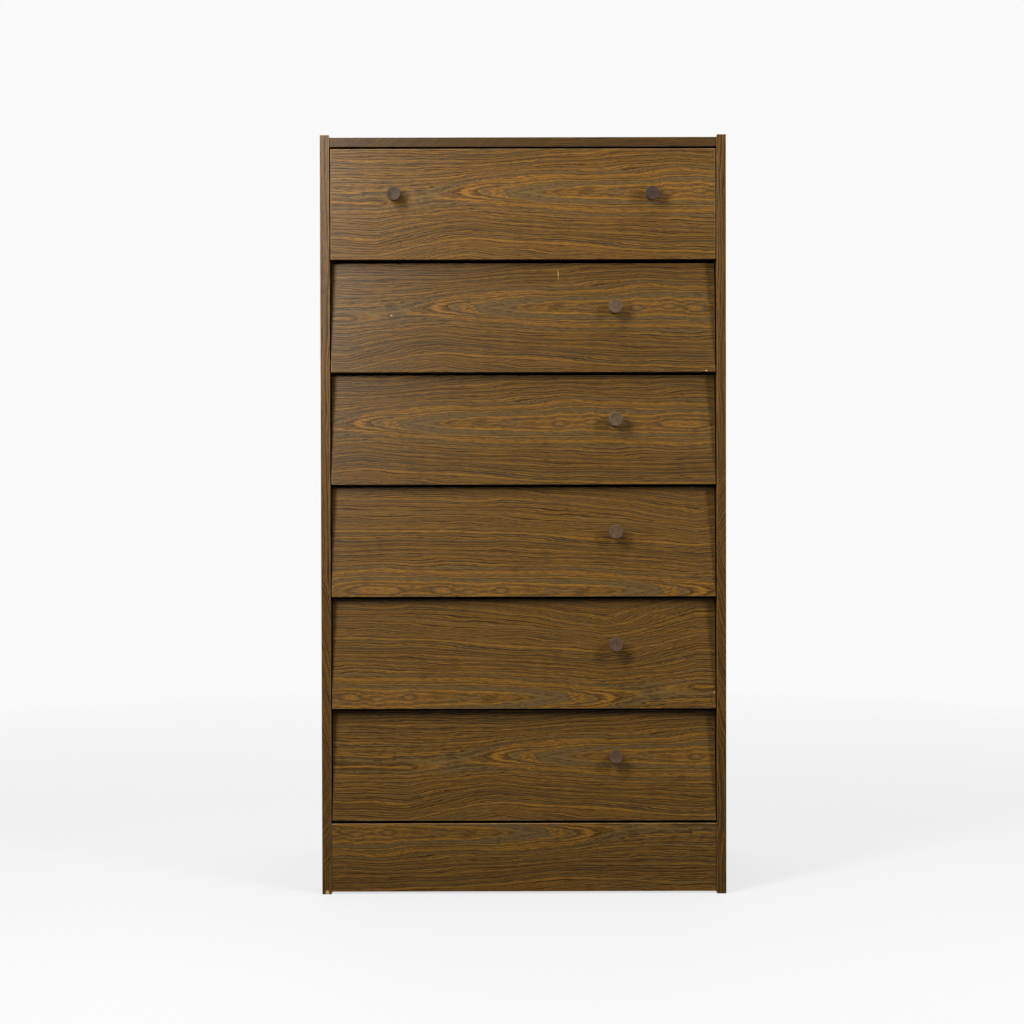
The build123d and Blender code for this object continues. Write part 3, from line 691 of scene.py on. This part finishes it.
MOULD_GRAIN, WEAR_CLOUDS = 1400, 130                      # noise cells in a metre
WEAR = {1: 0.35, 2: 0.7, 3: 0, 4: 0.8}
PLASTIC_ROUGH = {1: 0.3, 2: 0.7, 3: 0.42, 4: 0.6}
PLASTIC_SHINE = 0.3
MOULD_DEPTH = 0.05 * MM


def brown_plastic(name, low, high):
    """Matt brown phenolic: no clear reflection, a fine moulded grain, and clouds of dull wear
    that take its colour from low to high."""
    material, tree = new_material(name)
    place = add(tree, "TexCoord").outputs["Object"]
    grain = add(tree, "TexNoise", {"Vector": place, "Scale": MOULD_GRAIN, "Detail": 3})
    cloud = add(tree, "TexNoise", {"Vector": place, "Scale": WEAR_CLOUDS, "Detail": 3})
    wear = add(tree, "MapRange", {"Value": cloud, **WEAR})
    colour = add(tree, "Mix", {0: wear, 6: linear(low), 7: linear(high)}, data_type="RGBA")
    rough = add(tree, "MapRange", {"Value": cloud, **PLASTIC_ROUGH})
    bump = add(tree, "Bump", {"Strength": 0.3, "Distance": MOULD_DEPTH, "Height": grain})
    surface = add(tree, "BsdfPrincipled", {"Base Color": colour, "Roughness": rough,
                                           "Normal": bump, "Specular IOR Level": PLASTIC_SHINE})
    add(tree, "OutputMaterial", {"Surface": surface})
    return material


plain_plastic = brown_plastic("matt_brown_plastic", "#493724", "#5D4932")
# the top drawer's two knobs are given a darker brown than the other knobs
dark_plastic = brown_plastic("darker_brown_plastic", "#332418", "#433222")
knob_points, knob_faces = turned(knob_profile(), AROUND)


def make_knob(name, number, across):
    """One knob on a drawer's front, across metres from the middle, standing square to the front."""
    y, z, lean = front_plane(number)
    place = Matrix.Translation((0, y, z)) @ Matrix.Rotation(-lean, 4, "X")
    place = place @ Matrix.Translation((across, 0, KNOB_HEIGHT))
    points = knob_points @ np.array(place.to_3x3()).T + np.array(place.translation)
    mesh = bpy.data.meshes.new(name)
    mesh.from_pydata(points.tolist(), [], knob_faces)
    mesh.shade_smooth()
    mesh.materials.append(dark_plastic if number == 1 else plain_plastic)
    piece = bpy.data.objects.new(name, mesh)
    bpy.context.scene.collection.objects.link(piece)
    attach(piece, f"drawer_{number}")
    return piece


for number in DRAWERS:
    low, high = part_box(f"drawer_{number}_knob" + ("s" if number == 1 else ""))
    radius = knob_profile()[:, 0].max()
    if number == 1:
        for side, x in (("left", low.x + radius), ("right", high.x - radius)):
            piece = make_knob(f"knob_1_{side}", number, x)
            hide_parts("drawer_1_knobs")
    else:
        piece = make_knob(f"knob_{number}", number, (low.x + high.x) / 2)
        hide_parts(f"drawer_{number}_knob")
print("knob", len(knob_points), "points", len(knob_faces), "faces")

# %% [markdown]
# ## The studio
# The chest stands on white paper. One softbox stands to the left of the camera and a weaker one
# to the right, and a large panel overhead and another behind keep the paper white. The paper
# fades into plain white with distance, so that no horizon shows.

# %% Floor, world and lights
PAPER_WHITE = 0.95
OWN_GLOW = 0.72                      # share of the paper under the chest that is evenly white
FADE = {1: 1.0, 2: 3.0, 3: OWN_GLOW, 4: 1.0}              # m from the chest, to plain white
SEEN_PAPER, BOUNCING_PAPER = 0.62, 0.28                   # albedo to the camera, and to the chest
BOUNCED_GLOW, SKY_GLOW = 0.10, 0.06  # what the chest sees of the white paper and the white room
PAPER_RINGS = np.array([0.5, 1, 1.5, 2, 3, 4, 6, 9, 14])  # m, radius of the paper's rings
SPOKES = 64


def white_paper():
    """White paper: matt and even under the chest, and plain white further away.

    To the camera it is brighter than to the chest, so that it throws little light back up."""
    material, tree = new_material("white_paper")
    place = add(tree, "TexCoord").outputs["Object"]
    distance = add(tree, "VectorMath", {0: place}, operation="LENGTH")
    fade = add(tree, "MapRange", {"Value": distance, **FADE})
    camera_ray = add(tree, "LightPath").outputs["Is Camera Ray"]
    albedo = add(tree, "Mix", {0: camera_ray, 6: (*[BOUNCING_PAPER] * 3, 1),
                               7: (*[SEEN_PAPER] * 3, 1)}, data_type="RGBA")
    paper = add(tree, "BsdfDiffuse", {"Color": albedo})
    strength = add(tree, "MapRange", {"Value": camera_ray, 3: BOUNCED_GLOW, 4: PAPER_WHITE})
    glow = add(tree, "Emission", {"Color": (1, 1, 1, 1), "Strength": strength})
    mixed = add(tree, "MixShader", {0: fade, 1: paper, 2: glow})
    add(tree, "OutputMaterial", {"Surface": mixed})
    return material


def studio_floor():
    """A disc of rings and spokes, level at z = 0: x is radius times cosine, y radius times sine."""
    angles = np.arange(SPOKES) * tau / SPOKES
    ring = np.stack([np.cos(angles), np.sin(angles), np.zeros(SPOKES)], 1)
    points = np.concatenate([[[0, 0, 0]]] + [ring * radius for radius in PAPER_RINGS])
    around = np.arange(SPOKES)
    after = (around + 1) % SPOKES
    faces = [[0, int(1 + m), int(1 + n)] for m, n in zip(around, after)]
    for row in range(len(PAPER_RINGS) - 1):
        a, b = 1 + row * SPOKES, 1 + (row + 1) * SPOKES
        faces += np.stack([a + around, b + around, b + after, a + after], 1).tolist()
    mesh = bpy.data.meshes.new("paper")
    mesh.from_pydata(points.tolist(), [], faces)
    mesh.materials.append(white_paper())
    floor = bpy.data.objects.new("paper", mesh)
    bpy.context.scene.collection.objects.link(floor)
    return floor


def softbox(name, place, target, size, watts):
    """A rectangular area light at a place, aimed at a target."""
    data = bpy.data.lights.new(name, "AREA")
    data.shape = "RECTANGLE"
    data.size, data.size_y = size
    data.energy = watts
    lamp = bpy.data.objects.new(name, data)
    lamp.location = place
    lamp.rotation_euler = (Vector(target) - Vector(place)).to_track_quat("-Z", "Y").to_euler()
    bpy.context.scene.collection.objects.link(lamp)
    return lamp


LIGHTS = [  # name, place, aim, size in metres, watts
    ("key", (-0.90, -1.32, 1.66), (0.0, -0.19, 0.98), (0.42, 1.25), 36),
    ("fill", (1.55, -1.45, 1.45), (0.1, -0.2, 0.42), (0.40, 0.8), 26),
    ("overhead", (0, 0.20, 3.2), (0, 0.20, 0), (2.8, 2.8), 83),
    ("backdrop", (0, 2.9, 2.2), (0, 0.3, 0.3), (3.0, 2.0), 40)]

studio_floor()
world = bpy.data.worlds.new("studio")
world.use_nodes = True
bpy.context.scene.world = world
sky = world.node_tree
sky.nodes.clear()
path = add(sky, "LightPath")
seen = add(sky, "Background", {"Color": (1, 1, 1, 1), "Strength": PAPER_WHITE})
cast = add(sky, "Background", {"Color": (1, 1, 1, 1), "Strength": SKY_GLOW})
both = add(sky, "MixShader", {0: path.outputs["Is Camera Ray"], 1: cast, 2: seen})
add(sky, "OutputWorld", {"Surface": both})
for light in LIGHTS:
    softbox(*light)
bpy.context.scene.view_settings.view_transform = "Standard"
print("paper out to", PAPER_RINGS[-1], "m, lamps", {name: watts for name, *_, watts in LIGHTS})
